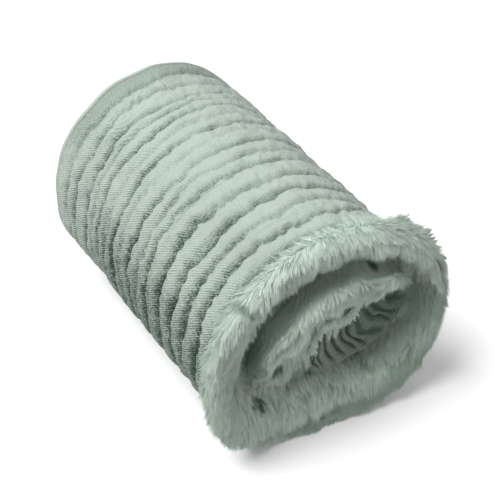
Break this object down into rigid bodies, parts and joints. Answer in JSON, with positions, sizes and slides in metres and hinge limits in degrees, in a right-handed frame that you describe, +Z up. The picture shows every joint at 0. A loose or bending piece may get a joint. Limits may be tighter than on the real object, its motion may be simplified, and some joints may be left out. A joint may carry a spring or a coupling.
{
  "type": "rolled muslin blanket",
  "caption": "Baby blanket of crinkled muslin with a plush lining, rolled up with the muslin outside and the plush fluffing out at one end.",
  "frame": {"origin": "on the resting surface, under the middle of the roll's outer box", "axes": "+Y along the roll, from its plush end to its folded end; +Z up; +X towards the side where the outer turn ends"},
  "size_m": [0.1984, 0.2758, 0.191],
  "materials": {
    "muslin": "matte crinkled muslin, sage green",
    "plush": "long soft pile, sage green"
  },
  "bodies": {
    "root": {"muslin_cover": "muslin", "plush_lining": "plush"}
  },
  "joints": []
}
